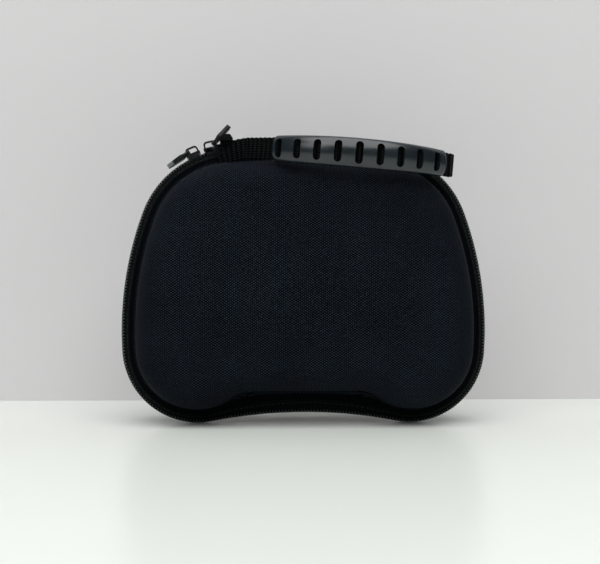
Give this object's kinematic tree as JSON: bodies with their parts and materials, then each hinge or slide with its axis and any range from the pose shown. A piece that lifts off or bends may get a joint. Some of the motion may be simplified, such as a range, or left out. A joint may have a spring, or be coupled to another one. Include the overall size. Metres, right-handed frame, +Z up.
{
  "type": "controller carrying case",
  "caption": "Zipped hard carrying case for a game controller, with a moulded front and back, a slotted arched grip on a webbing handle and a pocket inside.",
  "frame": {"origin": "on the table, under the middle of the parting plane between the two halves, where the closed case stands on its zip", "axes": "+X to the right seen from the front, +Y to the back, +Z up; the front half (lid) faces -Y"},
  "size_m": [0.18, 0.0807, 0.1493],
  "materials": {
    "moulded_fabric": "plain woven cover, dark grey, matte with a faint sheen",
    "zip_tape": "fine woven tape, near black",
    "zip_coil": "nylon coil, black, satin",
    "binding_tape": "woven binding, black",
    "hinge_fabric": "plain woven fabric, black",
    "elastic": "ribbed woven elastic, black",
    "net": "knitted elastic net, black",
    "webbing": "woven webbing with cross ribs, black",
    "grip_plastic": "soft grey plastic, satin",
    "slider_metal": "dark painted metal with bright worn edges"
  },
  "bodies": {
    "base": {"back_shell": "moulded_fabric", "back_zip_tape": "zip_tape", "back_zip_coil": "zip_coil", "back_rim_binding": "binding_tape", "fabric_hinge": "hinge_fabric", "retaining_strap": "elastic"},
    "lid": {"front_shell": "moulded_fabric", "front_zip_tape": "zip_tape", "front_zip_coil": "zip_coil", "front_rim_binding": "binding_tape", "pocket_net": "net", "pocket_hem": "elastic", "handle_anchor_left": "webbing", "handle_anchor_right": "webbing"},
    "handle": {"handle_webbing": "webbing", "handle_grip": "grip_plastic"},
    "left_slider": {"slider_left": "slider_metal"},
    "right_slider": {"slider_right": "slider_metal"},
    "left_pull": {"pull_left": "slider_metal"},
    "right_pull": {"pull_right": "slider_metal"}
  },
  "joints": [
    {"name": "lid_hinge", "type": "hinge", "parent": "base", "child": "lid", "pos_m": [0, 0, -0.0003], "axis": [1, 0, 0], "range_deg": [0, 170]},
    {"name": "handle_swing", "type": "hinge", "parent": "lid", "child": "handle", "pos_m": [0, -0.0109, 0.13986], "axis": [-1, 0, 0], "range_deg": [0, 165]},
    {"name": "left_slider_travel", "type": "hinge", "parent": "base", "child": "left_slider", "pos_m": [-0.03463, 0, 0.08741], "axis": [0, -1, 0], "range_deg": [0, 32]},
    {"name": "right_slider_travel", "type": "hinge", "parent": "base", "child": "right_slider", "pos_m": [-0.03463, 0, 0.08741], "axis": [0, 1, 0], "range_deg": [0, 11]},
    {"name": "left_pull_swing", "type": "hinge", "parent": "left_slider", "child": "left_pull", "pos_m": [-0.05687, 0, 0.13344], "axis": [0, 1, 0], "range_deg": [0, 100]},
    {"name": "right_pull_swing", "type": "hinge", "parent": "right_slider", "child": "right_pull", "pos_m": [-0.04491, 0, 0.13749], "axis": [0.1579, -0.9781, -0.1353], "range_deg": [0, 50]}
  ]
}
